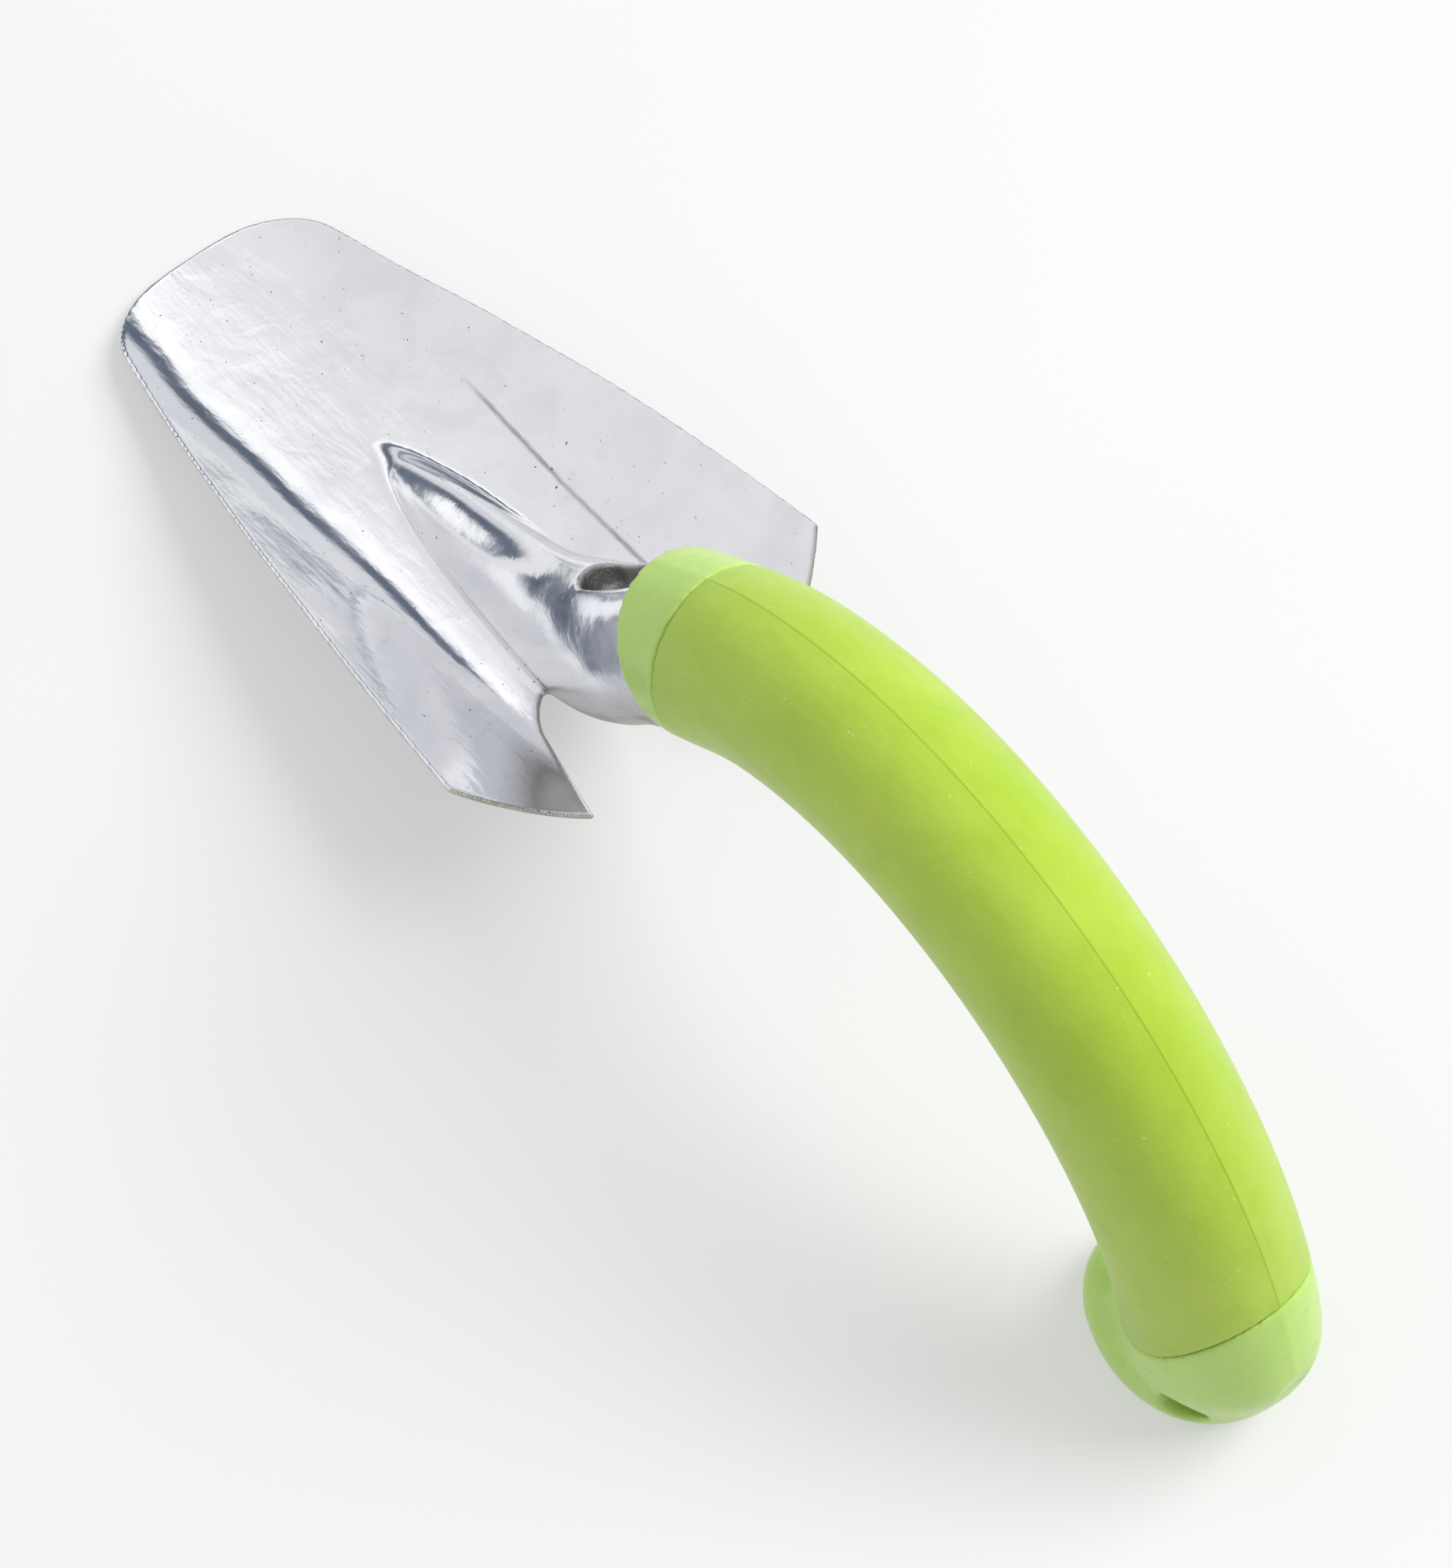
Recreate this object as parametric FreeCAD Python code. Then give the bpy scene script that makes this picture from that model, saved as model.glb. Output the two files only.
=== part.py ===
import FreeCAD, Part
import math
import os

# Ergonomic hand trowel, in millimetres.
#
# It stands as it rests on a bench: the blade's tip and the foot of the pommel touch z = 0, +X points
# to the blade's tip, +Z is up and y = 0 is the mirror plane. While it is drawn, x = 0 is the front of
# the collar. At the end everything moves along X, so that the origin lies at the bottom centre of
# the whole trowel's box.
#
# Three pieces: blade (one aluminium casting with its neck and its buried tang), handle_core (hard
# plastic, moulded round the tang) and grip (soft sleeve, moulded over the core).

V = FreeCAD.Vector

# --- Scoop ---------------------------------------------------------------------------------------
TIP_X = 183.0                     # front of the tip in the mirror plane
TIP_EDGE = (182.3, 11.0)          # where the crowned tip edge turns into its rounded corner
TIP_TURN = (176.3, 22.9)          # middle of the rounded corner
TIP_SIDE = (165.5, 28.6)          # where the corner runs out into the side edge
SIDE_MID = (99.4, 40.2)           # middle of the side edge's arc
HEEL_CORNER = (20.4, 48.9)        # widest corner of the scoop
HEEL_RADIUS = 4.0                 # its rounding
HEEL_MID = (12.4, 40.0)           # middle of the heel edge's arc
EAR_TIP = (4.4, 24.6)             # sharp rear end of each swallowtail ear
EAR_ROOT = (28.0, 19.3)           # where the ear's inner edge starts to turn towards the neck
NOTCH_MID = (32.6, 16.8)          # middle of that turn
NOTCH = (37.0, 11.5)              # where it meets the neck's side
PRISM_HEIGHT = 100.0              # of the prism that trims the sheet to this plan
CASTING = 2.3                     # wall thickness of the scoop

FLOOR_TIP_Z = 2.4                 # height of the floor's upper face at the tip
FLOOR_SLOPE = 0.104               # rise of the floor per millimetre towards the heel
WALL_TILT = 40.0                  # tilt of the side walls, in degrees
# Where floor and walls meet: place along the tool and distance from the mirror plane.
CREASE = ((-10.0, 23.0), (75.0, 23.2), (115.0, 25.0), (145.0, 26.4), (168.0, 24.8), (195.0, 20.0))
SOFTNESS_HEEL = 2.6               # how gently floor and wall meet, at the heel
SOFTNESS_TIP = 6.0                # the same at the tip
SHEET_HALF = 60.0                 # half width of the untrimmed sheet
SHEET_STATIONS = (-10.0, 15.0, 40.0, 65.0, 90.0, 110.0, 130.0, 150.0, 168.0, 195.0)
SHEET_COLUMNS = 41                # points across each section of the sheet

# --- Neck and ridge: side view stations from the collar to the ridge's sharp front end ------------
# Each station has its crest, its keel, its half width, the level of its widest point (0 at the keel,
# 1 at the crest) and the exponent of its upper part (2 is an ellipse, less is sharper).
NECK_STATIONS = (
    ((13.5, 84.4), (-12.2, 59.5), 15.6, 0.50, 2.0),
    ((21.5, 72.2), (1.0, 44.5), 15.0, 0.50, 2.0),
    ((30.0, 61.0), (12.0, 28.5), 14.2, 0.48, 2.0),
    ((38.5, 52.4), (24.0, 15.5), 13.4, 0.42, 2.0),
    ((48.5, 43.4), (38.0, 9.0), 12.6, 0.32, 1.9),
    ((60.0, 35.2), (54.0, 10.5), 11.6, 0.24, 1.9),
    ((74.0, 28.0), (72.0, 10.5), 10.1, 0.20, 1.85),
    ((88.0, 21.6), (88.0, 9.0), 7.8, 0.22, 1.85),
    ((100.0, 15.2), (100.0, 8.2), 4.7, 0.35, 1.85),
    ((110.5, 8.8), (110.5, 7.2), 1.0, 0.50, 2.0),
)
SECTION_POINTS = 28               # points around each section
LOWER_EXPONENT = 2.4              # exponent of the sections below their widest level
FLANGE_LENGTH = 1.8               # thin flange that closes the mould against the collar
FLANGE_STEP = 1.2                 # how far the flange stays inside the collar's outline
POCKET_HALF = 4.2                 # half width of the as-cast pocket on top of the neck
POCKET_DEPTH = 6.5
POCKET_ENDS = ((33.0, 58.0), (12.0, 83.5))   # side view: centres of its two round ends

# --- Handle --------------------------------------------------------------------------------------
AXIS_POLES = ((0.0, 72.6), (-62.5, 137.2), (-138.5, 87.7), (-156.5, 25.5))
HALF_FRONT = 17.4                 # half width of the handle at the collar
HALF_REAR = 18.2                  # the same at the pommel
ASPECT = 1.15                     # height of the handle's section over its width
SLEEVE = 3.6                      # thickness of the grip
COLLAR_CENTRE = (-6.0, 83.0)      # side view: a point of the tilted joint between collar and grip
COLLAR_TILT = 168.0               # direction of that joint's normal, in degrees from +X
COLLAR_LEAST = 2.5                # least length of the collar, at the underside
# Side view of the curved joint between grip and pommel, from the outside of the bow to above the toe.
POMMEL_JOINT = (
    (-190.0, 86.0),
    (-169.1, 51.8),
    (-157.0, 31.0),
    (-147.0, 20.5),
    (-132.0, 16.5),
    (-110.0, 16.5),
)
KEY_RIBS = (0.28, 0.48, 0.68)     # places along the axis of the core's ribs, which key the grip
KEY_HEIGHT = 1.6
KEY_REACH = 0.015                 # half length of a rib, as a fraction of the axis

TANG_END = 0.36                   # end of the casting's tang, as a fraction of the axis
TANG_HALF = (9.0, 7.5)            # its half width and half height
TANG_WAISTS = (0.13, 0.29)        # middles of the two waists that lock it in the core
TANG_WAIST_REACH = 0.02           # half length of a waist, as a fraction of the axis
TANG_WAIST_CUT = 2.0
TANG_HOLE_AT = 0.21
TANG_HOLE_R = 3.2

# Rings of the pommel below the end of the axis: x, z, half width, half height, direction of the axis.
POMMEL_RINGS = (
    (-156.2, 16.0, 17.9, 19.8, 268.0),
    (-155.2, 8.0, 16.8, 18.4, 270.0),
    (-154.4, 3.0, 14.0, 15.4, 270.0),
    (-154.0, 0.4, 9.0, 10.0, 270.0),
)
FOOT_FRONT_X = -127.0             # front of the toe, which stops the hand
FOOT_REAR_X = -170.0
FOOT_HALF = 17.5
FOOT_HEIGHT = 13.0
FOOT_ROUND = 5.5
HANG_HOLE = (-164.0, 12.5)        # side view: centre of the hole to hang the tool by
HANG_HOLE_R = 4.5
BLOCK = 400.0                     # size of the blocks used for trimming
RINGS = 9                         # sections along each stretch of the handle


def floor_z(x):
    """Height of the floor's upper face in the mirror plane."""
    return FLOOR_TIP_Z + FLOOR_SLOPE * (TIP_X - x)


def between(table, x):
    """Smooth interpolation in a table of (x, value) pairs."""
    for (x0, v0), (x1, v1) in zip(table, table[1:]):
        if x <= x1:
            t = (x - x0) / (x1 - x0)
            t = max(0.0, min(1.0, t))
            return v0 + (v1 - v0) * t * t * (3.0 - 2.0 * t)
    return table[-1][1]


def scoop_z(x, y):
    """Height of the scoop's upper face: a flat floor that bends up into two straight walls."""
    t = (x - SHEET_STATIONS[0]) / (SHEET_STATIONS[-1] - SHEET_STATIONS[0])
    softness = SOFTNESS_HEEL + (SOFTNESS_TIP - SOFTNESS_HEEL) * t
    beyond = abs(y) - between(CREASE, x)
    rise = 0.5 * (beyond + math.hypot(beyond, softness))
    flat = 0.5 * (-between(CREASE, x) + math.hypot(between(CREASE, x), softness))
    return floor_z(x) + math.tan(math.radians(WALL_TILT)) * (rise - flat)


def spline(points):
    """An edge that runs smoothly through the points."""
    curve = Part.BSplineCurve()
    curve.interpolate(points)
    return curve.toShape()


def sheet_section(x):
    """Closed section of the untrimmed scoop at one station."""
    columns = [SHEET_HALF * (2.0 * i / (SHEET_COLUMNS - 1) - 1.0) for i in range(SHEET_COLUMNS)]
    upper = [V(x, y, scoop_z(x, y)) for y in columns]
    lower = [p.sub(V(0, 0, CASTING)) for p in upper]
    return Part.Wire([
        spline(upper),
        Part.makeLine(upper[-1], lower[-1]),
        spline(lower),
        Part.makeLine(lower[0], upper[0]),
    ])


def scoop_prism():
    """Tall prism of the scoop's plan view: squared tip, swallowtail heel."""
    def p(point, side):
        return V(point[0], side * point[1], 0.0)

    edges = [Part.Arc(p(TIP_EDGE, -1.0), V(TIP_X, 0, 0), p(TIP_EDGE, 1.0)).toShape()]
    for side in (1.0, -1.0):
        edges.append(Part.Arc(p(TIP_EDGE, side), p(TIP_TURN, side), p(TIP_SIDE, side)).toShape())
        edges.append(Part.Arc(p(TIP_SIDE, side), p(SIDE_MID, side), p(HEEL_CORNER, side)).toShape())
        edges.append(Part.Arc(p(HEEL_CORNER, side), p(HEEL_MID, side), p(EAR_TIP, side)).toShape())
        edges.append(Part.makeLine(p(EAR_TIP, side), p(EAR_ROOT, side)))
        edges.append(Part.Arc(p(EAR_ROOT, side), p(NOTCH_MID, side), p(NOTCH, side)).toShape())
    edges.append(Part.makeLine(p(NOTCH, 1.0), p(NOTCH, -1.0)))
    prism = Part.Face(Part.Wire(Part.__sortEdges__(edges))).extrude(V(0, 0, PRISM_HEIGHT))
    return prism.makeFillet(HEEL_RADIUS, upright_edges(prism, HEEL_CORNER))


def upright_edges(solid, corner):
    """The two upright edges of a mirrored solid that stand over a corner of its plan."""
    found = []
    for edge in solid.Edges:
        points = [vertex.Point for vertex in edge.Vertexes]
        if all(math.hypot(q.x - corner[0], abs(q.y) - corner[1]) < 0.01 for q in points):
            found.append(edge)
    return found


def neck_section(low, high, half_width, level, exponent):
    """Closed section of the neck, which leans with the line from its keel to its crest."""
    low = V(low[0], 0, low[1])
    high = V(high[0], 0, high[1])
    widest = low + (high - low) * level
    points = []
    for i in range(SECTION_POINTS):
        turn = 2.0 * math.pi * i / SECTION_POINTS - math.pi / 2
        upper = math.sin(turn) > 0.0
        power = 2.0 / (exponent if upper else LOWER_EXPONENT)
        across = half_width * math.copysign(abs(math.cos(turn)) ** power, math.cos(turn))
        reach = (high - widest) if upper else (low - widest)
        points.append(widest + reach * abs(math.sin(turn)) ** power + V(0, across, 0))
    curve = Part.BSplineCurve()
    curve.interpolate(points, PeriodicFlag=True)
    return Part.Wire([curve.toShape()])


def neck():
    """The ridge that grows out of the floor and becomes the round neck."""
    sections = [neck_section(keel, crest, *rest) for crest, keel, *rest in NECK_STATIONS]
    return Part.makeLoft(sections, True, False)


def ellipse_wire(centre, outward, tangent, half_width, half_height):
    """Elliptical section square to the tangent, half_height along outward and half_width along Y."""
    curve = Part.Ellipse(V(0, 0, 0), max(half_width, half_height), min(half_width, half_height))
    wire = Part.Wire([curve.toShape()])
    first, second = (outward, V(0, 1, 0)) if half_height > half_width else (V(0, 1, 0), outward)
    rotation = FreeCAD.Rotation(first, second, first.cross(second), "XYZ")
    wire.Placement = FreeCAD.Placement(centre, rotation)
    return wire


class Axis:
    """The bowed centreline of the handle, in the plane y = 0, with s from 0 to 1."""

    def __init__(self):
        self.curve = Part.BezierCurve()
        self.curve.setPoles([V(x, 0, z) for x, z in AXIS_POLES])

    def at(self, s):
        return self.curve.value(s)

    def tangent(self, s):
        return self.curve.tangent(s)[0].normalize()

    def outward(self, s):
        """Unit normal towards the outside of the bow."""
        t = self.tangent(s)
        return V(t.z, 0, -t.x)

    def ring(self, s, half_width, half_height):
        """Elliptical section at s."""
        return ellipse_wire(self.at(s), self.outward(s), self.tangent(s), half_width, half_height)

    def outline_ring(self, s, inset):
        """Section of the handle's outline at s, smaller by the inset."""
        half = HALF_FRONT + (HALF_REAR - HALF_FRONT) * s
        return self.ring(s, half - inset, half * ASPECT - inset)

    def steps(self, start, end):
        """Evenly spaced places along the axis."""
        return [start + (end - start) * i / (RINGS - 1) for i in range(RINGS)]

    def bar(self, start, end, half_width, half_height):
        """Solid of constant section between two places."""
        rings = [self.ring(s, half_width, half_height) for s in self.steps(start, end)]
        return Part.makeLoft(rings, True, False)


def handle_outline(axis, pommel_rings, inset=0.0):
    """The handle's shape, smaller by the inset, from the collar's front down through the pommel's rings."""
    wires = [axis.outline_ring(s, inset) for s in axis.steps(0.0, 1.0)]
    for x, z, half_width, half_height, direction in pommel_rings:
        turn = math.radians(direction)
        tangent = V(math.cos(turn), 0, math.sin(turn))
        outward = V(tangent.z, 0, -tangent.x)
        wires.append(ellipse_wire(V(x, 0, z), outward, tangent, half_width - inset, half_height - inset))
    return Part.makeLoft(wires, True, False)


def above_pommel():
    """Everything above the curved joint between grip and pommel."""
    points = [V(x, -BLOCK / 2, z) for x, z in POMMEL_JOINT]
    front = points[-1] + V(BLOCK / 2, 0, 0)
    top = V(0, 0, BLOCK)
    edges = [
        spline(points),
        Part.makeLine(points[-1], front),
        Part.makeLine(front, front + top),
        Part.makeLine(front + top, points[0] + top),
        Part.makeLine(points[0] + top, points[0]),
    ]
    return Part.Face(Part.Wire(edges)).extrude(V(0, BLOCK, 0))


def half_space(centre, tilt):
    """A large block whose flat end lies at the centre and which reaches away along the tilt."""
    block = Part.makeBox(BLOCK, BLOCK, BLOCK, V(0, -BLOCK / 2, -BLOCK / 2))
    block.rotate(V(0, 0, 0), V(0, 1, 0), -tilt)
    block.translate(V(centre[0], 0, centre[1]))
    return block


def tang(axis):
    """The casting's buried end: two waists and a cross hole key it into the core."""
    half_width, half_height = TANG_HALF
    body = axis.bar(0.0, TANG_END, half_width, half_height)
    for s in TANG_WAISTS:
        reach = (s - TANG_WAIST_REACH, s + TANG_WAIST_REACH)
        collar = axis.bar(*reach, 2 * half_width, 2 * half_height)
        stem = axis.bar(*reach, half_width - TANG_WAIST_CUT, half_height - TANG_WAIST_CUT)
        body = body.cut(collar.cut(stem))
    start = axis.at(TANG_HOLE_AT) - V(0, 2 * half_width, 0)
    return body.cut(Part.makeCylinder(TANG_HOLE_R, 4 * half_width, start, V(0, 1, 0)))


def pocket():
    """Slot with round ends, cut square to the crest of the neck."""
    low, high = (V(x, 0, z) for x, z in POCKET_ENDS)
    along = (high - low).normalize()
    up = V(along.z, 0, -along.x)
    deep = up * -POCKET_DEPTH
    ends = [Part.makeCylinder(POCKET_HALF, POCKET_DEPTH * 3, end + deep, up) for end in (low, high)]
    side = V(0, POCKET_HALF, 0)
    corners = [low + deep - side, high + deep - side, high + deep + side, low + deep + side]
    middle = Part.Face(Part.makePolygon(corners + corners[:1])).extrude(up * POCKET_DEPTH * 3)
    return middle.fuse(ends)


def blade(axis):
    """Scoop, ridge, neck, flange and tang: one casting."""
    sheet = Part.makeLoft([sheet_section(x) for x in SHEET_STATIONS], True, False)
    body = sheet.common(scoop_prism()).fuse(neck()).cut(pocket())
    plate = Part.Face(axis.ring(0.0, HALF_FRONT - FLANGE_STEP, HALF_FRONT * ASPECT - FLANGE_STEP))
    return body.fuse(plate.extrude(axis.tangent(0.0) * -FLANGE_LENGTH)).fuse(tang(axis))


def foot():
    """The pommel's foot, whose front is the toe that stops the hand."""
    centre = V((FOOT_FRONT_X + FOOT_REAR_X) / 2, 0, 0)
    ellipse = Part.Ellipse(centre, (FOOT_FRONT_X - FOOT_REAR_X) / 2, FOOT_HALF)
    puck = Part.Face(Part.Wire([ellipse.toShape()])).extrude(V(0, 0, FOOT_HEIGHT))
    return puck.makeFillet(FOOT_ROUND, puck.Edges)


def handle(axis):
    """The core and the grip, which share the surface of the sleeve's bore."""
    outline = handle_outline(axis, POMMEL_RINGS)
    inner = handle_outline(axis, POMMEL_RINGS[:-1], SLEEVE)
    start = axis.at(0.0) + axis.tangent(0.0) * COLLAR_LEAST
    start_tilt = math.degrees(math.atan2(axis.tangent(0.0).z, axis.tangent(0.0).x))
    zone = half_space(COLLAR_CENTRE, COLLAR_TILT)
    zone = zone.common(half_space((start.x, start.z), start_tilt)).common(above_pommel())
    for s in KEY_RIBS:
        rings = [axis.outline_ring(q, SLEEVE - KEY_HEIGHT) for q in (s - KEY_REACH, s + KEY_REACH)]
        inner = inner.fuse(Part.makeLoft(rings, True))
    grip = outline.common(zone).cut(inner)
    core = outline.cut(zone).fuse(inner).fuse(foot())
    side = V(HANG_HOLE[0], -2 * FOOT_HALF, HANG_HOLE[1])
    hole = Part.makeCylinder(HANG_HOLE_R, 4 * FOOT_HALF, side, V(0, 1, 0))
    return core.cut(hole).cut(tang(axis)), grip


def main():
    os.makedirs("parts", exist_ok=True)
    axis = Axis()
    core, grip = handle(axis)
    pieces = {"blade": blade(axis), "handle_core": core, "grip": grip}
    boxes = [shape.optimalBoundingBox(False) for shape in pieces.values()]
    middle = (min(box.XMin for box in boxes) + max(box.XMax for box in boxes)) / 2
    for name, shape in pieces.items():
        shape.translate(V(-middle, 0, 0))
        print(name, shape.isValid(), len(shape.Solids), round(shape.Volume))
        shape.exportStep("parts/" + name + ".step")


main()
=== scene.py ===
import math

import bpy
import numpy as np
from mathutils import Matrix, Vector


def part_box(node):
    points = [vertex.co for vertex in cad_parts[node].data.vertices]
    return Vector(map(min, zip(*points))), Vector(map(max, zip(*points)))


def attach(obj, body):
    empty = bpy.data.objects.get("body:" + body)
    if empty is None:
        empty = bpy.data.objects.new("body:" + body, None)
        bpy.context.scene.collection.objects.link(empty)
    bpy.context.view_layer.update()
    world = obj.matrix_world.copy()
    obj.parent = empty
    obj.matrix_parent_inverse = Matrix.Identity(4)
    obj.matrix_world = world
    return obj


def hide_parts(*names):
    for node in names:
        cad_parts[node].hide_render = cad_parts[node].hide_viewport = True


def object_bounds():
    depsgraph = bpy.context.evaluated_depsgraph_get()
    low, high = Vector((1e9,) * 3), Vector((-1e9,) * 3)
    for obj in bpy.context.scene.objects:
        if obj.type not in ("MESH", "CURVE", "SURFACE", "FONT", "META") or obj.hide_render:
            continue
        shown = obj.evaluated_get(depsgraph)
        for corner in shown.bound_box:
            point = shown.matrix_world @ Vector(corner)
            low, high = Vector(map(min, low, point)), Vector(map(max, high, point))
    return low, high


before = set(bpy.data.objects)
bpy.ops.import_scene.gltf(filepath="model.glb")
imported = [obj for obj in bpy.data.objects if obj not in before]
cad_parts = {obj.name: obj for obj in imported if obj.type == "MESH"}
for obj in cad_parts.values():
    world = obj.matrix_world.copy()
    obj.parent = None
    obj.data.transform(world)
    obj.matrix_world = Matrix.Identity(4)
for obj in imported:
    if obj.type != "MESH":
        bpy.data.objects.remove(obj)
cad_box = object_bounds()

import openvdb
from mathutils import Vector

# Looks of the hand trowel. Shapes are worked out in millimetres with x = 0 at the front of the collar,
# as in the part's source, and every piece is moved into the row frame, in metres, when it is made.
#
# Each piece is a block of signed distances (negative inside) that is turned into one closed mesh, so
# that ridge, neck, walls and fillets run into each other as in a casting or a moulding.

# --- Scoop ---------------------------------------------------------------------------------------
TIP_X = 183.0
TIP_EDGE = (182.3, 11.0)
TIP_TURN = (176.3, 22.9)
TIP_SIDE = (165.5, 28.6)
SIDE_MID = (99.4, 40.2)
HEEL_CORNER = (20.4, 48.9)
HEEL_MID = (12.4, 40.0)
EAR_TIP = (4.4, 24.6)
EAR_ROOT = (28.0, 19.3)
NOTCH_MID = (32.6, 16.8)
NOTCH = (37.0, 11.5)
CASTING = 2.3                    # wall thickness
FLOOR_TIP_Z = 2.4
FLOOR_SLOPE = 0.104
WALL_TILT = math.radians(40.0)
CREASE_X = (-10.0, 75.0, 115.0, 145.0, 168.0, 195.0)
CREASE_Y = (23.0, 23.2, 25.0, 26.4, 24.8, 20.0)
SOFTNESS = (2.6, 6.0)            # how gently floor and wall meet, at the heel and at the tip
SHEET_X = (-10.0, 195.0)
RIM_ROUND = 1.0                  # rounding of the rim's edges
OUTLINE_STEP = 12                # points along each arc of the plan outline
CREASE_PAINTED_LINE = 0.45               # half width of the painted dark reflection line along one crease

# --- Neck: crest, keel, half width, level of the widest place, exponent of the upper half ---------
NECK_STATIONS = (
    (13.5, 84.4, -12.2, 59.5, 15.6, 0.50, 2.0),
    (21.5, 72.2, 1.0, 44.5, 15.0, 0.50, 2.0),
    (30.0, 61.0, 12.0, 28.5, 14.2, 0.48, 2.0),
    (38.5, 52.4, 24.0, 15.5, 13.4, 0.42, 2.0),
    (48.5, 43.4, 38.0, 9.0, 12.6, 0.32, 1.9),
    (60.0, 35.2, 54.0, 10.5, 11.6, 0.24, 1.9),
    (74.0, 28.0, 72.0, 10.5, 10.1, 0.20, 1.85),
    (88.0, 21.6, 88.0, 9.0, 7.8, 0.22, 1.85),
    (100.0, 15.2, 100.0, 8.2, 4.7, 0.35, 1.85),
    (110.5, 8.8, 110.5, 7.2, 1.0, 0.50, 2.0),
)
LOWER_EXPONENT = 2.4
RIDGE_FILLET = 2.0               # fillet between ridge and floor
FLANGE_FILLET = 1.0
FLANGE_LENGTH = 1.8
FLANGE_STEP = 1.2
POCKET_HALF = 4.2
POCKET_DEPTH = 6.5
POCKET_ROUND = 2.0               # rounding of its bottom
POCKET_EDGE = 1.0                # and of its rim
POCKET_ENDS = ((33.0, 58.0), (12.0, 83.5))
CAST_EDGE_Z = (13.0, 18.0, 30.5, 39.0, 50.0, 61.5, 71.0)     # where the polished flank ends: height
CAST_EDGE_X = (37.0, 33.0, 21.0, 14.0, 7.0, 0.0, -5.0)       # and place along the tool
CAST_BLEND = 1.2                 # width over which the polish fades out there
CAST_HALF = 17.0                 # half width of the stretch that can be as cast there

# --- Handle --------------------------------------------------------------------------------------
AXIS_POLES = ((0.0, 72.6), (-62.5, 137.2), (-138.5, 87.7), (-156.5, 25.5))
HALF_FRONT = 17.4
HALF_REAR = 18.2
ASPECT = 1.15
SLEEVE = 3.6
COLLAR_CENTRE = (-6.0, 83.0)
COLLAR_TILT = math.radians(168.0)
COLLAR_LEAST = 2.5
POMMEL_JOINT = (
    (-190.0, 86.0),
    (-169.1, 51.8),
    (-157.0, 31.0),
    (-147.0, 20.5),
    (-132.0, 16.5),
    (-110.0, 16.5),
)
JOINT_END_X = 60.0               # the joint's last level is held up to here, in front of the collar
POMMEL_RINGS = (
    (-156.2, 16.0, 17.9, 19.8, 268.0),
    (-155.2, 8.0, 16.8, 18.4, 270.0),
    (-154.4, 3.0, 14.0, 15.4, 270.0),
    (-154.0, 0.4, 9.0, 10.0, 270.0),
)
FOOT_FRONT_X = -127.0
FOOT_REAR_X = -170.0
FOOT_HALF = 17.5
FOOT_HEIGHT = 13.0
FOOT_ROUND = 5.5
TOE_FILLET = 6.0                 # hollow between the pommel and the foot
HANG_HOLE = (-164.0, 12.5)
HANG_HOLE_R = 4.5
HOLE_EDGE = 1.4                  # rounding of its rims
EDGE_ROUND = 0.7                 # rounding of the moulded edges
BORE_EDGE = 0.3                  # rounding where the sleeve meets its bore
MOULD_LINE = (0.22, 0.5)         # height and half width of the line left by the mould

SHIFT = TIP_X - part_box("blade")[1].x * 1000.0   # from the drawing's x to the row frame's
BLADE_CELL = 0.5
BLADE_BLOCK = ((-15, -50.5, -1.5), (185, 50.5, 95))
BLADE_REACH = 6.0                # how far from a tube its distances are known
HANDLE_CELL = 0.75
HANDLE_BLOCK = ((-179, -20.5, -1.5), (17, 20.5, 126))
HANDLE_REACH = 8.0
BAND_CELLS = 3.0                 # distances are kept this many cells from a surface
SMOOTHING = 3                    # rounds of light smoothing
NECK_STEPS = 10                  # rings between two stations of the neck
HANDLE_STEPS = 8                 # and of the handle
JOINT_STEPS = 12
FOOT_STEPS = 8                   # rings round each edge of the foot
RING_POINTS = 72
AROUND = np.linspace(0.0, 2.0 * math.pi, RING_POINTS, endpoint=False)
SIDEWAYS = np.array((0, 1, 0))


# --- Signed distances -----------------------------------------------------------------------------

class Volume:
    """A block of cubic cells that holds signed distances."""

    def __init__(self, low, high, cell):
        self.cell = cell
        self.low = np.array(low, float)
        self.shape = tuple(int(n) for n in np.ceil((np.array(high) - self.low) / cell) + 1)
        axes = [self.low[i] + cell * np.arange(self.shape[i]) for i in range(3)]
        planes = np.meshgrid(*axes, indexing="ij", sparse=True)
        self.x, self.y, self.z = (a.astype(np.float32) for a in planes)
        self.transform = openvdb.createLinearTransform(voxelSize=cell)

    def of_tube(self, rings, reach):
        """Signed distance to a closed tube through rings of points, exact up to the reach."""
        count, size = rings.shape[:2]
        points = np.concatenate([rings.reshape(-1, 3), rings[0].mean(0)[None], rings[-1].mean(0)[None]])
        i, j = np.meshgrid(np.arange(count - 1), np.arange(size), indexing="ij")
        k = (j + 1) % size
        corners = [i * size + j, i * size + k, (i + 1) * size + k, (i + 1) * size + j]
        quads = np.stack(corners, -1).reshape(-1, 4)
        around = np.arange(size)
        ahead = (around + 1) % size
        first = np.stack([np.full(size, count * size), ahead, around], -1)
        last_ring = (count - 1) * size
        last = np.stack([np.full(size, count * size + 1), last_ring + around, last_ring + ahead], -1)
        grid = openvdb.FloatGrid.createLevelSetFromPolygons(
            (points - self.low).astype(np.float32),
            triangles=np.concatenate([first, last]).astype(np.uint32),
            quads=quads.astype(np.uint32),
            transform=self.transform,
            halfWidth=reach / self.cell,
        )
        distance = np.full(self.shape, reach, np.float32)
        grid.copyToArray(distance)
        return distance

    def surface(self, distance):
        """Closed mesh of the block's zero surface: points and quads."""
        band = BAND_CELLS * self.cell
        grid = openvdb.FloatGrid(band)
        grid.copyFromArray(np.clip(distance, -band, band).astype(np.float32))
        grid.transform = self.transform
        points, quads = grid.convertToQuads(isovalue=0.0)
        return points.astype(float) + self.low, quads.astype(np.int64)


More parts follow.
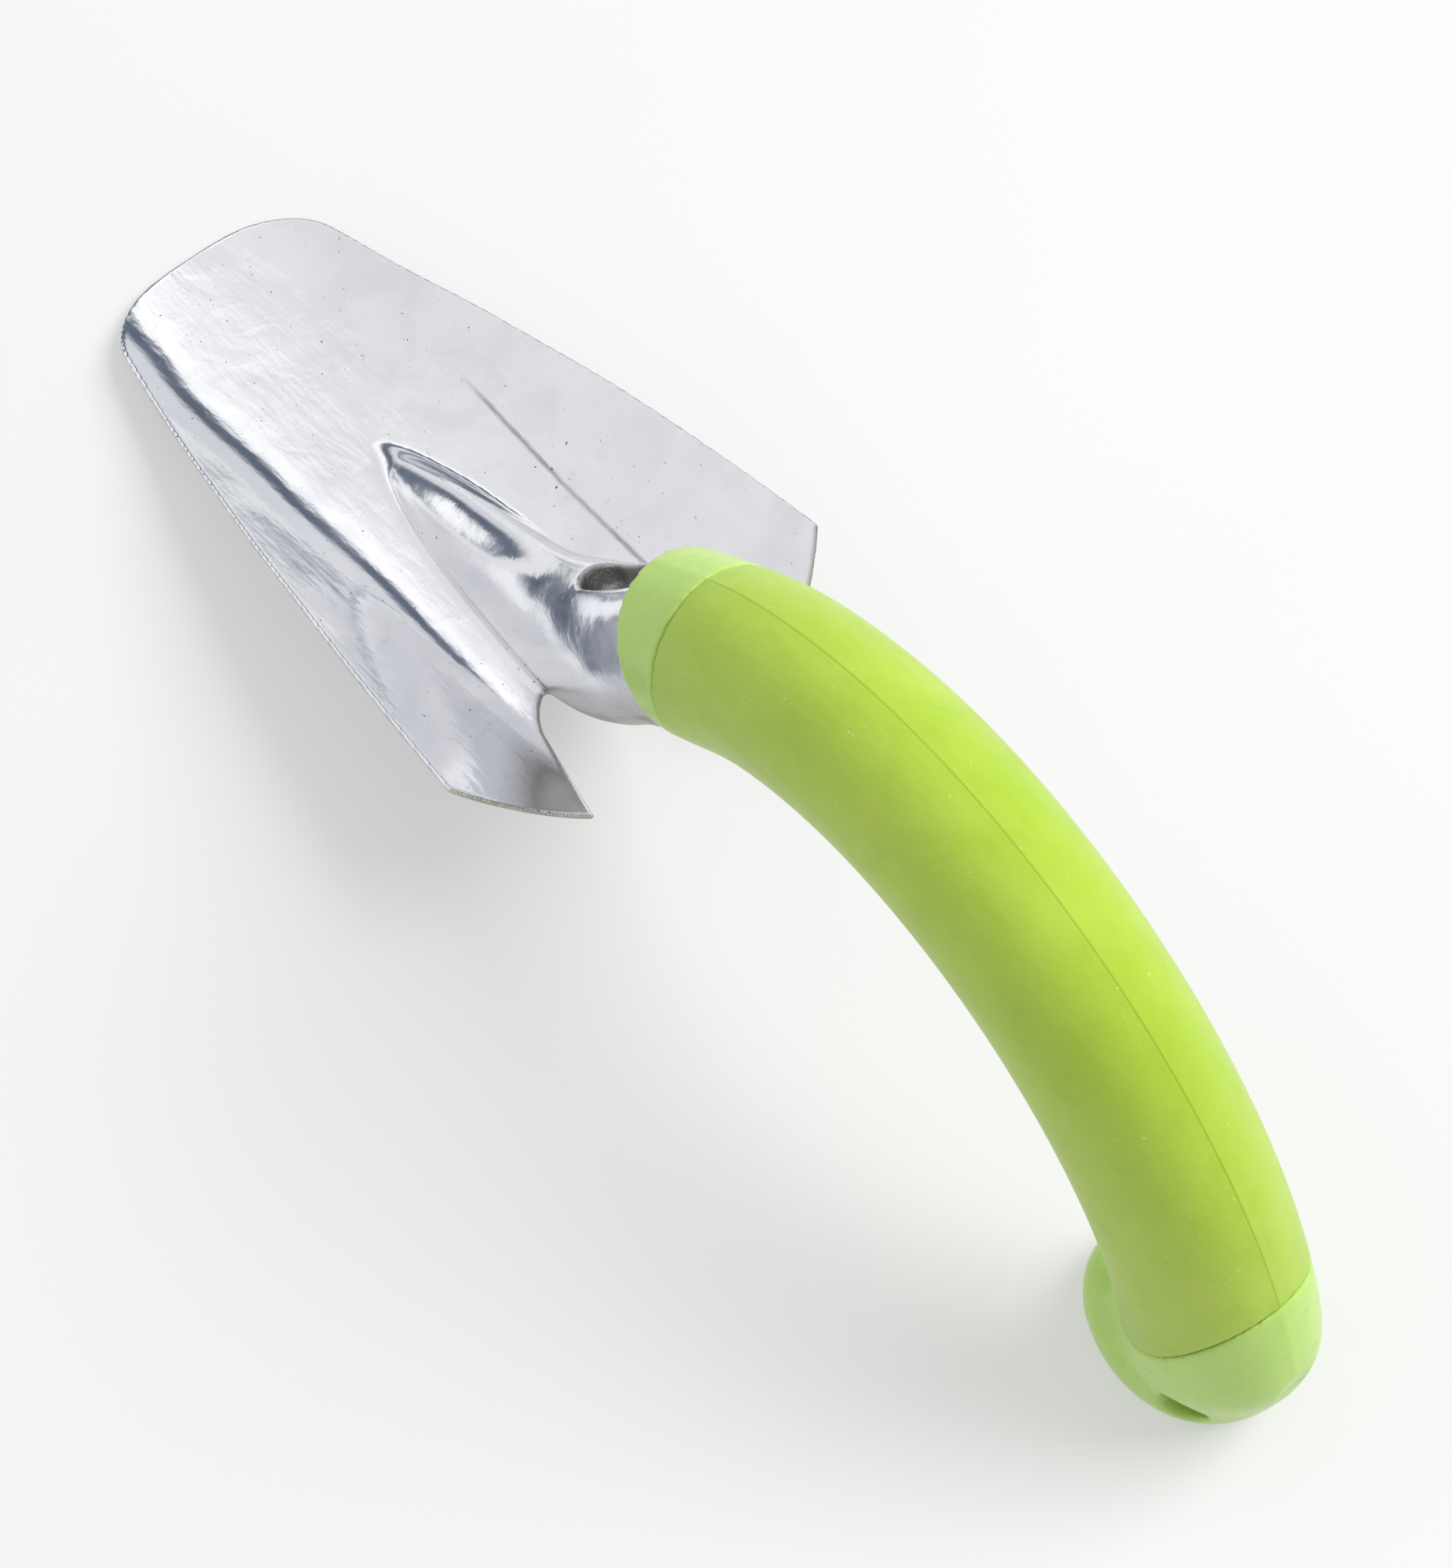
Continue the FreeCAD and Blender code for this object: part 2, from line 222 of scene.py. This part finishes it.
def both(a, b, radius):
    """Intersection of two solids with its edge rounded."""
    edge = np.hypot(np.maximum(a + radius, 0), np.maximum(b + radius, 0))
    return np.minimum(np.maximum(a, b), -radius) + edge


def either(a, b, radius):
    """Union of two solids with a fillet between them."""
    return -both(-a, -b, radius)


def through(table, count):
    """Smooth rows through the rows of a table, count to each of its steps."""
    table = np.array(table, float)
    before = np.vstack([2 * table[0] - table[1], table, 2 * table[-1] - table[-2]])
    rows = []
    for i in range(len(table) - 1):
        a, b, c, d = before[i:i + 4]
        for t in np.arange(count) / count:
            rows.append(0.5 * (2 * b + (c - a) * t + (2 * a - 5 * b + 4 * c - d) * t ** 2
                               + (3 * b - a - 3 * c + d) * t ** 3))
    return np.array(rows + [table[-1]])


# --- Blade ----------------------------------------------------------------------------------------

def arc(a, b, c):
    """Points on the circle through three points of the plan, from a up to but not including c."""
    a, b, c = (complex(*p) for p in (a, b, c))
    w = (c - a) / (b - a)
    centre = a + (b - a) * (w - abs(w) ** 2) / (2j * w.imag)
    start = a - centre
    swing = np.angle((c - centre) / start)
    if np.angle((b - centre) / start) * swing < 0:
        swing -= math.copysign(2 * math.pi, swing)
    turned = centre + start * np.exp(1j * swing * np.arange(OUTLINE_STEP) / OUTLINE_STEP)
    return list(zip(turned.real, turned.imag))


def plan_outline():
    """The scoop's outline in plan, closed, as an array of points."""
    def flip(points):
        return [(x, -y) for x, y in points]

    half = arc(NOTCH, NOTCH_MID, EAR_ROOT) + [EAR_ROOT] + arc(EAR_TIP, HEEL_MID, HEEL_CORNER)
    half += arc(HEEL_CORNER, SIDE_MID, TIP_SIDE) + arc(TIP_SIDE, TIP_TURN, TIP_EDGE)
    half += arc(TIP_EDGE, (TIP_X, 0.0), (TIP_EDGE[0], -TIP_EDGE[1]))[:OUTLINE_STEP // 2 + 1]
    return np.array(half + flip(half[:-1])[::-1])


def plan_distance(x, y):
    """Signed distance to the outline in plan."""
    outline = plan_outline()
    nearest = np.full(np.broadcast(x, y).shape, 1e9, np.float32)
    inside = np.zeros(nearest.shape, bool)
    for (ax, ay), (bx, by) in zip(outline, np.roll(outline, -1, 0)):
        dx, dy = bx - ax, by - ay
        t = np.clip(((x - ax) * dx + (y - ay) * dy) / (dx * dx + dy * dy), 0, 1)
        nearest = np.minimum(nearest, np.hypot(x - ax - t * dx, y - ay - t * dy))
        if ay != by:
            inside ^= ((y < ay) != (y < by)) & (x < ax + dx * (y - ay) / dy)
    return np.where(inside, -nearest, nearest)


def smooth_interp(x, xs, ys):
    """Interpolation that eases in and out of every point of the table."""
    place = np.interp(x, xs, np.arange(len(xs)))
    index = np.minimum(place.astype(int), len(xs) - 2)
    t = place - index
    ys = np.array(ys)
    return ys[index] + (ys[index + 1] - ys[index]) * t * t * (3 - 2 * t)


def scoop_height(x, y):
    """Height of the scoop's upper face."""
    t = (x - SHEET_X[0]) / (SHEET_X[1] - SHEET_X[0])
    softness = SOFTNESS[0] + (SOFTNESS[1] - SOFTNESS[0]) * t
    crease = smooth_interp(x, CREASE_X, CREASE_Y)
    beyond = np.abs(y) - crease
    rise = 0.5 * (beyond + np.hypot(beyond, softness)) - 0.5 * (np.hypot(crease, softness) - crease)
    return FLOOR_TIP_Z + FLOOR_SLOPE * (TIP_X - x) + math.tan(WALL_TILT) * rise


def scoop_distance(block):
    """The scoop: a sheet of even thickness inside the plan outline."""
    x, y = block.x[:, :, 0], block.y[:, :, 0]
    height = scoop_height(x, y)
    slope_x, slope_y = np.gradient(height, block.cell)
    lean = np.sqrt(1 + slope_x ** 2 + slope_y ** 2)[:, :, None].astype(np.float32)
    above = (block.z - height[:, :, None].astype(np.float32)) / lean
    sheet = both(above, -above - CASTING / lean, RIM_ROUND)
    return both(sheet, plan_distance(x, y)[:, :, None].astype(np.float32), RIM_ROUND)


def neck_rings():
    """Rings of points round the ridge and the neck."""
    rings = []
    for cx, cz, kx, kz, half_width, level, exponent in through(NECK_STATIONS, NECK_STEPS):
        crest, keel = np.array((cx, 0, cz)), np.array((kx, 0, kz))
        widest = keel + (crest - keel) * level
        rise, across = np.sin(AROUND), np.cos(AROUND)
        power = np.where(rise > 0, 2 / exponent, 2 / LOWER_EXPONENT)
        reach = np.where(rise[:, None] > 0, crest - widest, keel - widest)
        side = half_width * np.sign(across) * np.abs(across) ** power
        upright = reach * (np.abs(rise) ** power)[:, None]
        rings.append(widest + upright + side[:, None] * SIDEWAYS)
    return np.array(rings)


def pocket_distance(x, y, z):
    """The slot on top of the neck, with round ends and a rounded bottom."""
    low, high = (np.array(p) for p in POCKET_ENDS)
    length = np.hypot(*(high - low))
    along = (high - low) / length
    up = np.array((along[1], -along[0]))
    a = (x - low[0]) * along[0] + (z - low[1]) * along[1]
    u = (x - low[0]) * up[0] + (z - low[1]) * up[1]
    return both(np.hypot(a - np.clip(a, 0, length), y) - POCKET_HALF, -u - POCKET_DEPTH, POCKET_ROUND)


def skin_and_painted_line_amount(points, normals):
    """How dull and dark the skin is at each point, from polished (0) to as cast (1); it also carries a
    painted dark reflection line along one crease and a painted dark outline on the rim's edge.
    """
    x, y, z = points.T
    up = normals[:, 2]
    pocket = np.clip(1.2 - 1.5 * pocket_distance(x, y, z), 0, 1)
    behind = np.clip((np.interp(z, CAST_EDGE_Z, CAST_EDGE_X) - x) / CAST_BLEND, 0, 1)
    behind *= (np.abs(y) < CAST_HALF) * (z > CAST_EDGE_Z[0])
    # The rim's edge faces take the dark, rough skin; the darkness there is a painted dark outline that
    # stands in for the reflection along the edge.
    rim = np.clip((0.60 - up) * 4, 0, 1) * np.clip(plan_distance(x, y) + 1.6, 0, 1)
    rim *= np.clip(scoop_height(x, y) + 1.5 - z, 0, 1)
    under = np.clip(-up * 3, 0, 1)
    # A painted dark reflection line along the middle stretch of the crease at y < 0, dull and rough like
    # the cast skin.
    crease = np.clip(1.4 - np.abs(y + np.interp(x, CREASE_X, CREASE_Y)) / CREASE_PAINTED_LINE, 0, 0.8)
    crease *= np.clip((x - 30.0) / 10.0, 0, 1) * np.clip((114.0 - x) / 12.0, 0, 1)
    return np.maximum.reduce([pocket, behind, rim, under, crease])


# --- Handle ---------------------------------------------------------------------------------------

def axis_stations():
    """Stations of the handle: x, z, half width, half height, direction of the axis in degrees."""
    poles = np.array(AXIS_POLES)
    stations = []
    for s in np.linspace(0.0, 1.0, 9):
        weights = np.array(((1 - s) ** 3, 3 * s * (1 - s) ** 2, 3 * s ** 2 * (1 - s), s ** 3))
        x, z = weights @ poles
        slopes = np.array(((1 - s) ** 2, 2 * s * (1 - s), s ** 2))
        dx, dz = slopes @ np.diff(poles, axis=0)
        half = HALF_FRONT + (HALF_REAR - HALF_FRONT) * s
        stations.append((x, z, half, half * ASPECT, math.degrees(math.atan2(dz, dx)) % 360.0))
    return stations


def ellipse_rings(stations, inset):
    """Elliptical rings, square to the axis, smaller by the inset."""
    rings = []
    for x, z, half_width, half_height, direction in stations:
        turn = math.radians(direction)
        outward = np.array((math.sin(turn), 0, -math.cos(turn)))
        across = (half_width - inset) * np.sin(AROUND)
        along = (half_height - inset) * np.cos(AROUND)
        rings.append(np.array((x, 0, z)) + along[:, None] * outward + across[:, None] * SIDEWAYS)
    return np.array(rings)


def foot_rings():
    """The foot: an oval block whose edges are rounded all round."""
    rings = []
    heights = [(FOOT_ROUND * (1 - math.sin(a)), FOOT_ROUND * (1 - math.cos(a)))
               for a in np.linspace(math.pi / 2, 0, FOOT_STEPS)]
    levels = heights + [(FOOT_HEIGHT - z, inset) for z, inset in heights[::-1]]
    middle = (FOOT_FRONT_X + FOOT_REAR_X) / 2
    reach = (FOOT_FRONT_X - FOOT_REAR_X) / 2
    for z, inset in levels:
        rings.append(np.stack([middle + (reach - inset) * np.cos(AROUND),
                               (FOOT_HALF - inset) * np.sin(AROUND), np.full(RING_POINTS, z)], -1))
    return np.array(rings)


def grip_zone(x, z):
    """Signed distance to the stretch of the handle that the grip covers."""
    from_x, from_z = x - COLLAR_CENTRE[0], z - COLLAR_CENTRE[1]
    collar = -(from_x * math.cos(COLLAR_TILT) + from_z * math.sin(COLLAR_TILT))
    (x0, z0), (x1, z1) = AXIS_POLES[:2]
    length = math.hypot(x1 - x0, z1 - z0)
    least = COLLAR_LEAST - ((x - x0) * (x1 - x0) + (z - z0) * (z1 - z0)) / length
    joint = through(POMMEL_JOINT, JOINT_STEPS)
    line_x = np.append(joint[:, 0], JOINT_END_X)
    line_z = np.append(joint[:, 1], POMMEL_JOINT[-1][1])
    level = np.interp(x, line_x, line_z)
    lean = np.interp(x, line_x, np.hypot(1, np.gradient(line_z, line_x)))
    pommel = (level - z) / lean
    return np.maximum(np.maximum(collar, least), pommel).astype(np.float32)


def hole_distance(x, y, z):
    """The hole to hang the tool by, crosswise through the pommel."""
    return np.hypot(x - HANG_HOLE[0], z - HANG_HOLE[1]) - HANG_HOLE_R + 0 * y


# --- Making the pieces ----------------------------------------------------------------------------

def add_piece(name, node, material, points, quads, amounts=None):
    """One smooth mesh that rides on the body and stands for a CAD node.

    Points past the CAD box are moved onto it. That flattens the foot's underside and a small patch at
    the back of the pommel.
    """
    scaled = (points - np.array((SHIFT, 0, 0))) / 1000.0
    scaled = np.clip(scaled, np.array(cad_box[0]), np.array(cad_box[1]))
    mesh = bpy.data.meshes.new(name)
    mesh.from_pydata(scaled.tolist(), [], quads.tolist())
    mesh.shade_smooth()
    mesh.materials.append(material)
    piece = bpy.data.objects.new(name, mesh)
    bpy.context.scene.collection.objects.link(piece)
    if amounts is not None:
        normals = np.zeros(len(points) * 3, np.float32)
        mesh.vertex_normals.foreach_get("vector", normals)
        values = amounts(points, normals.reshape(-1, 3))
        layer = mesh.attributes.new("cast_skin_and_painted_lines", "FLOAT", "POINT")
        layer.data.foreach_set("value", values.astype(np.float32))
    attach(piece, "root")
    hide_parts(node)


def outward(points, quads):
    """The quads turned, where needed, so that the mesh's normals point out."""
    a, b, c, d = (points[quads[:, i]] for i in range(4))
    volume = np.einsum("ij,ij->i", a, np.cross(b, c) + np.cross(c, d)).sum()
    return quads if volume > 0 else quads[:, ::-1]


def relax(points, quads, rounds):
    """A light smoothing that takes the cells' stepping out without shrinking the shape."""
    edges = np.concatenate([quads[:, [i, (i + 1) % 4]] for i in range(4)])
    for factor in (0.5, -0.52) * rounds:
        total = np.zeros_like(points)
        for axis in range(3):
            total[:, axis] = np.bincount(edges[:, 0], points[edges[:, 1], axis], len(points))
        degree = np.bincount(edges[:, 0], minlength=len(points))
        points = points + factor * (total / degree[:, None] - points)
    return points


def build_blade(material):
    block = Volume(*BLADE_BLOCK, BLADE_CELL)
    body = scoop_distance(block)
    body = either(body, block.of_tube(neck_rings(), BLADE_REACH), RIDGE_FILLET)
    body = both(body, -pocket_distance(block.x, block.y, block.z), POCKET_EDGE)
    collar = axis_stations()[0]
    turn = math.radians(collar[4])
    section = (collar[2] - FLANGE_STEP, collar[3] - FLANGE_STEP * ASPECT, collar[4])
    near = collar[:2] + section
    far = (collar[0] - FLANGE_LENGTH * math.cos(turn), collar[1] - FLANGE_LENGTH * math.sin(turn)) + section
    flange = block.of_tube(ellipse_rings((near, far), 0.0), BLADE_REACH)
    body = either(body, flange, FLANGE_FILLET)
    points, quads = block.surface(body)
    quads = outward(points, quads)
    points = relax(points, quads, SMOOTHING)
    add_piece("cast_blade", "blade", material, points, quads, skin_and_painted_line_amount)


def build_handle(core_material, grip_material):
    block = Volume(*HANDLE_BLOCK, HANDLE_CELL)
    stations = axis_stations()
    outer_stations = through(stations + list(POMMEL_RINGS), HANDLE_STEPS)
    inner_stations = through(stations + list(POMMEL_RINGS[:-1]), HANDLE_STEPS)
    outline = block.of_tube(ellipse_rings(outer_stations, 0.0), HANDLE_REACH)
    inner = block.of_tube(ellipse_rings(inner_stations, SLEEVE), HANDLE_REACH)
    outline = either(outline, block.of_tube(foot_rings(), HANDLE_REACH), TOE_FILLET)
    outline = outline - MOULD_LINE[0] * np.exp(-(block.y / MOULD_LINE[1]) ** 2)
    zone = grip_zone(block.x, block.z)
    grip = both(both(outline, zone, EDGE_ROUND), -inner, BORE_EDGE)
    core = np.minimum(both(outline, -zone, EDGE_ROUND), inner)
    core = both(core, -hole_distance(block.x, block.y, block.z), HOLE_EDGE)
    for name, node, slot_name, material, body in (
        ("hard_core", "handle_core", "hard_plastic", core_material, core),
        ("soft_sleeve", "grip", "soft_grip", grip_material, grip),
    ):
        points, quads = block.surface(body)
        quads = outward(points, quads)
        add_piece(name, node, material, relax(points, quads, SMOOTHING), quads)


# --- Materials ------------------------------------------------------------------------------------

class Shader:
    """A material's nodes, with short calls for the ones used here."""

    def __init__(self, name, **settings):
        self.material = bpy.data.materials.new(name)
        self.material.use_nodes = True
        self.tree = self.material.node_tree
        self.surface = self.tree.nodes["Principled BSDF"]
        self.place = self.tree.nodes.new("ShaderNodeTexCoord").outputs["Object"]
        for key, value in settings.items():
            self.surface.inputs[key.replace("_", " ")].default_value = value

    def link(self, source, target):
        self.tree.links.new(source, target)

    def noise(self, scale, detail=4.0, stretch=None, distortion=0.0):
        """Cloudy noise with features of about 1/scale metres."""
        node = self.tree.nodes.new("ShaderNodeTexNoise")
        node.inputs["Scale"].default_value = scale
        node.inputs["Detail"].default_value = detail
        node.inputs["Distortion"].default_value = distortion
        if stretch is None:
            self.link(self.place, node.inputs["Vector"])
        else:
            mapping = self.tree.nodes.new("ShaderNodeMapping")
            mapping.inputs["Scale"].default_value = stretch
            self.link(self.place, mapping.inputs["Vector"])
            self.link(mapping.outputs["Vector"], node.inputs["Vector"])
        return node.outputs["Fac"]

    def span(self, value, low, high, to_low=0.0, to_high=1.0):
        """The value's span from low to high, spread over another span."""
        node = self.tree.nodes.new("ShaderNodeMapRange")
        numbers = {"From Min": low, "From Max": high, "To Min": to_low, "To Max": to_high}
        for key, number in numbers.items():
            node.inputs[key].default_value = number
        self.link(value, node.inputs["Value"])
        return node.outputs["Result"]

    def combine(self, a, b, operation="ADD"):
        """Two values joined by a sum or another operation of the Math node."""
        node = self.tree.nodes.new("ShaderNodeMath")
        node.operation = operation
        for socket, value in zip(node.inputs, (a, b)):
            if isinstance(value, float):
                socket.default_value = value
            else:
                self.link(value, socket)
        return node.outputs["Value"]

    def mix(self, factor, a, b):
        """Colour that goes from a to b as the factor rises."""
        node = self.tree.nodes.new("ShaderNodeMix")
        node.data_type = "RGBA"
        self.link(factor, node.inputs["Factor"])
        for key, value in ((6, a), (7, b)):
            if isinstance(value, tuple):
                node.inputs[key].default_value = value + (1.0,)
            else:
                self.link(value, node.inputs[key])
        return node.outputs[2]

    def across(self):
        """Distance from the mirror plane."""
        node = self.tree.nodes.new("ShaderNodeSeparateXYZ")
        self.link(self.place, node.inputs["Vector"])
        return self.combine(node.outputs["Y"], 0.0, "ABSOLUTE")

    def attribute(self, name):
        node = self.tree.nodes.new("ShaderNodeAttribute")
        node.attribute_name = name
        return node.outputs["Fac"]

    def bump(self, height, distance, below=None):
        node = self.tree.nodes.new("ShaderNodeBump")
        node.inputs["Distance"].default_value = distance
        self.link(height, node.inputs["Height"])
        if below is not None:
            self.link(below, node.inputs["Normal"])
        return node.outputs["Normal"]

    def finish(self, colour, roughness, normal):
        self.link(colour, self.surface.inputs["Base Color"])
        self.link(roughness, self.surface.inputs["Roughness"])
        self.link(normal, self.surface.inputs["Normal"])
        return self.material


def polished_casting():
    """Hand-buffed aluminium: cloudy polish, faint buffing lines, pits, and rough skin where as cast; the
    same dark skin also paints a dark reflection line along one crease and a dark outline on the rim's edge.
    """
    s = Shader("polished_casting", Metallic=1.0)
    clouds = s.noise(38.0, 6.0, distortion=1.2)
    patches = s.noise(110.0, 5.0, distortion=0.6)
    lines = s.noise(260.0, 3.0, stretch=(0.35, 1.6, 1.0))
    pits = s.span(s.noise(950.0, 2.0), 0.73, 0.79)
    rough = s.attribute("cast_skin_and_painted_lines")
    polish = s.mix(s.span(clouds, 0.35, 0.68), (0.79, 0.80, 0.825), (0.88, 0.88, 0.895))
    polish = s.mix(s.span(patches, 0.52, 0.72, 0.0, 0.22), polish, (0.66, 0.675, 0.71))
    polish = s.mix(pits, polish, (0.16, 0.15, 0.14))
    skin = s.mix(s.span(patches, 0.35, 0.7), (0.34, 0.335, 0.33), (0.54, 0.53, 0.51))
    # The skin colour here also paints the dark reflection line along one crease and the dark outline on the
    # rim's edge.
    colour = s.mix(rough, polish, skin)
    smooth_polish = s.combine(s.span(clouds, 0.3, 0.7, 0.08, 0.14), s.span(patches, 0.4, 0.75, 0.0, 0.07))
    roughness = s.combine(smooth_polish, s.span(rough, 0.0, 1.0, 0.0, 0.34))
    grain = s.combine(s.noise(1400.0, 3.0), s.span(rough, 0.0, 1.0, 0.02, 1.0), "MULTIPLY")
    normal = s.bump(grain, 0.00025)
    normal = s.bump(patches, 0.00009, normal)
    normal = s.bump(lines, 0.00006, normal)
    return s.finish(colour, roughness, s.bump(pits, -0.00012, normal))


def moulded_plastic():
    """Hard plastic: light green, a little glossy, with faint flow clouds and fine scratches."""
    s = Shader("moulded_plastic", Subsurface_Weight=0.05, Subsurface_Scale=0.003, Coat_Weight=0.12)
    clouds = s.noise(55.0, 4.0, distortion=0.8)
    scuffs = s.noise(420.0, 3.0, stretch=(1.0, 0.3, 1.0))
    colour = s.mix(s.span(clouds, 0.3, 0.7), (0.40, 0.61, 0.115), (0.46, 0.67, 0.155))
    colour = s.mix(s.span(scuffs, 0.62, 0.78, 0.0, 0.35), colour, (0.30, 0.47, 0.10))
    roughness = s.combine(s.span(clouds, 0.3, 0.7, 0.28, 0.36), s.span(scuffs, 0.5, 0.8, 0.0, 0.18))
    normal = s.bump(s.noise(2600.0, 2.0), 0.00004)
    return s.finish(colour, roughness, s.bump(scuffs, 0.00003, normal))


def soft_elastomer():
    """Soft grip: satin yellow green, finely grained, with handling marks and a trace of dust."""
    s = Shader("soft_elastomer", Sheen_Weight=0.06, Sheen_Roughness=0.5)
    clouds = s.noise(42.0, 5.0, distortion=0.6)
    marks = s.noise(170.0, 5.0, stretch=(0.6, 1.4, 1.0))
    dust = s.span(s.noise(1100.0, 1.0), 0.74, 0.80)
    colour = s.mix(s.span(clouds, 0.3, 0.7), (0.34, 0.51, 0.032), (0.40, 0.56, 0.052))
    colour = s.mix(s.span(marks, 0.55, 0.8, 0.0, 0.4), colour, (0.30, 0.45, 0.018))
    colour = s.mix(s.combine(dust, 0.6, "MULTIPLY"), colour, (0.62, 0.68, 0.42))
    line = s.span(s.across(), 0.0001, 0.0003, 1.0, 0.0)
    colour = s.mix(s.combine(line, 0.55, "MULTIPLY"), colour, (0.20, 0.31, 0.010))
    roughness = s.combine(s.span(clouds, 0.3, 0.7, 0.34, 0.40), s.span(marks, 0.45, 0.8, 0.0, 0.10))
    normal = s.bump(s.noise(3200.0, 2.0), 0.00006)
    return s.finish(colour, roughness, s.bump(marks, 0.00012, normal))


def pale_table():
    """Matt table with a little light of its own, so that the shadows on it stay faint."""
    s = Shader("pale_table", Emission_Color=(1.0, 1.0, 1.0, 1.0), Emission_Strength=0.425)
    colour = s.mix(s.span(s.noise(3.0, 2.0), 0.3, 0.7), (0.37, 0.37, 0.37), (0.39, 0.39, 0.39))
    s.surface.inputs["Specular IOR Level"].default_value = 0.0
    roughness = s.span(s.noise(8.0, 2.0), 0.3, 0.7, 0.8, 0.95)
    return s.finish(colour, roughness, s.bump(s.noise(90.0, 2.0), 0.00002))


# --- Studio ---------------------------------------------------------------------------------------

TABLE_SIZE = 1.7
AIM = Vector((-0.0172, 0.0049, 0.040))
CAMERA_TURN = math.radians(-39.85)
CAMERA_RISE = math.radians(62.59)
CAMERA_DISTANCE = 0.8125
SENSOR = 36.0
LENS = 92.62

KEY_DIRECTION = (-0.28, -0.60, 0.75)
KEY_DISTANCE = 3.0
KEY_SIZE = 1.9
KEY_POWER = 100.0
KEY_COLOUR = (1.0, 0.99, 0.97)

# The room in bands: each one's place and colour. A direction's place is 0.5 + 0.4 z + 0.24 y.
ROOM_BANDS = (
    (0.30, (0.62, 0.63, 0.66, 1)),
    (0.46, (0.62, 0.63, 0.66, 1)),
    (0.53, (0.11, 0.135, 0.18, 1)),
    (0.61, (0.09, 0.115, 0.155, 1)),
    (0.645, (0.98, 0.98, 1.0, 1)),
    (0.685, (1.0, 1.0, 1.0, 1)),
    (0.725, (0.71, 0.71, 0.725, 1)),
    (0.95, (0.66, 0.655, 0.675, 1)),
)
ROOM_LEVEL = 0.5
ROOM_BY_Z = 0.4
ROOM_BY_Y = 0.24
ROOM_STRENGTH = 1.25
ROOM_DIM = {"From Min": -0.4, "From Max": 0.35, "To Min": 0.62, "To Max": 1.0}   # share of it, by x


def from_aim(turn, rise, distance):
    """A place seen from the aim point. Turn 0 lies towards -X, and turn rises towards +Y from there."""
    level = math.cos(rise)
    return AIM + distance * Vector((-level * math.cos(turn), -level * math.sin(turn), math.sin(rise)))


def look(obj, target):
    obj.rotation_euler = (target - obj.location).to_track_quat("-Z", "Y").to_euler()


def add_camera():
    data = bpy.data.cameras.new("camera")
    data.sensor_width = SENSOR
    data.lens = LENS
    camera = bpy.data.objects.new("camera", data)
    camera.location = from_aim(CAMERA_TURN, CAMERA_RISE, CAMERA_DISTANCE)
    look(camera, AIM)
    bpy.context.scene.collection.objects.link(camera)
    bpy.context.scene.camera = camera


def add_key_softbox():
    """Large soft key light. Reflections don't show it, or it would burn out the polished blade."""
    data = bpy.data.lights.new("key_softbox", "AREA")
    data.shape = "RECTANGLE"
    data.size = KEY_SIZE
    data.size_y = KEY_SIZE
    data.energy = KEY_POWER
    data.color = KEY_COLOUR
    light = bpy.data.objects.new("key_softbox", data)
    light.location = AIM + Vector(KEY_DIRECTION).normalized() * KEY_DISTANCE
    look(light, AIM)
    light.visible_glossy = False
    bpy.context.scene.collection.objects.link(light)


def add_table():
    mesh = bpy.data.meshes.new("table")
    half = TABLE_SIZE / 2
    corners = [(-half, -half, 0.0), (half, -half, 0.0), (half, half, 0.0), (-half, half, 0.0)]
    mesh.from_pydata(corners, [], [(0, 1, 2, 3)])
    mesh.materials.append(pale_table())
    table = bpy.data.objects.new("table", mesh)
    bpy.context.scene.collection.objects.link(table)


def add_world():
    """Soft room light in bands, brighter on the blade's side and dimmer behind the handle."""
    world = bpy.data.worlds.new("room")
    world.use_nodes = True
    nodes, links = world.node_tree.nodes, world.node_tree.links

    def scaled(source, factor, addend):
        node = nodes.new("ShaderNodeMath")
        node.operation = "MULTIPLY_ADD"
        links.new(source, node.inputs[0])
        node.inputs[1].default_value = factor
        if isinstance(addend, float):
            node.inputs[2].default_value = addend
        else:
            links.new(addend, node.inputs[2])
        return node.outputs["Value"]

    place = nodes.new("ShaderNodeTexCoord")
    split = nodes.new("ShaderNodeSeparateXYZ")
    ramp = nodes.new("ShaderNodeValToRGB")
    links.new(place.outputs["Generated"], split.inputs["Vector"])
    level = scaled(split.outputs["Z"], ROOM_BY_Z, ROOM_LEVEL)
    level = scaled(split.outputs["Y"], ROOM_BY_Y, level)
    links.new(level, ramp.inputs["Fac"])
    links.new(ramp.outputs["Color"], nodes["Background"].inputs["Color"])
    low, high = ramp.color_ramp.elements
    low.position, low.color = ROOM_BANDS[0]
    high.position, high.color = ROOM_BANDS[-1]
    for position, colour in ROOM_BANDS[1:-1]:
        ramp.color_ramp.elements.new(position).color = colour
    dim = nodes.new("ShaderNodeMapRange")
    links.new(split.outputs["X"], dim.inputs["Value"])
    for key, number in ROOM_DIM.items():
        dim.inputs[key].default_value = number
    strength = scaled(dim.outputs["Result"], ROOM_STRENGTH, 0.0)
    links.new(strength, nodes["Background"].inputs["Strength"])
    bpy.context.scene.world = world


bpy.context.scene.view_settings.view_transform = "Standard"
build_blade(polished_casting())
build_handle(moulded_plastic(), soft_elastomer())
add_table()
add_world()
add_key_softbox()
add_camera()
